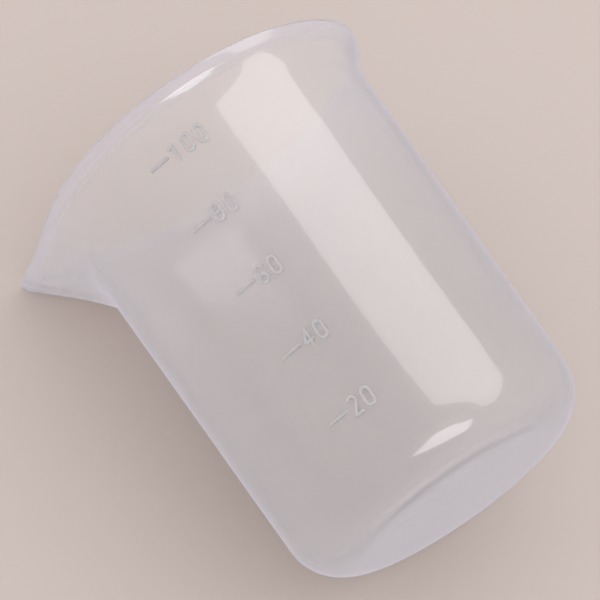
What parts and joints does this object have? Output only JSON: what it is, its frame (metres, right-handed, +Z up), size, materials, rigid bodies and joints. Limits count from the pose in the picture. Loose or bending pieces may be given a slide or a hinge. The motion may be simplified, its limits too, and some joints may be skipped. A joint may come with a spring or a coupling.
{
  "type": "mixing cup",
  "caption": "Small clear plastic mixing cup with a rounded foot, a flared rim drawn out into one pouring spout, and a raised millilitre scale on the wall.",
  "frame": {"origin": "centre of the flat foot, on the surface that the cup stands on", "axes": "+Z up along the cup's axis and out of its mouth, +X towards the tip of the pouring spout, the scale on the +Y side"},
  "size_m": [0.067, 0.0554, 0.071],
  "materials": {
    "cup_plastic": "milky see-through polypropylene, smooth and softly glossy",
    "scale_plastic": "the same plastic, raised from the wall and frosted"
  },
  "bodies": {
    "root": {"cup_body": "cup_plastic", "scale_number_1": "scale_plastic", "scale_number_2": "scale_plastic", "scale_number_3": "scale_plastic", "scale_number_4": "scale_plastic", "scale_number_5": "scale_plastic", "scale_line_1": "scale_plastic", "scale_line_2": "scale_plastic", "scale_line_3": "scale_plastic", "scale_line_4": "scale_plastic", "scale_line_5": "scale_plastic"}
  },
  "joints": []
}
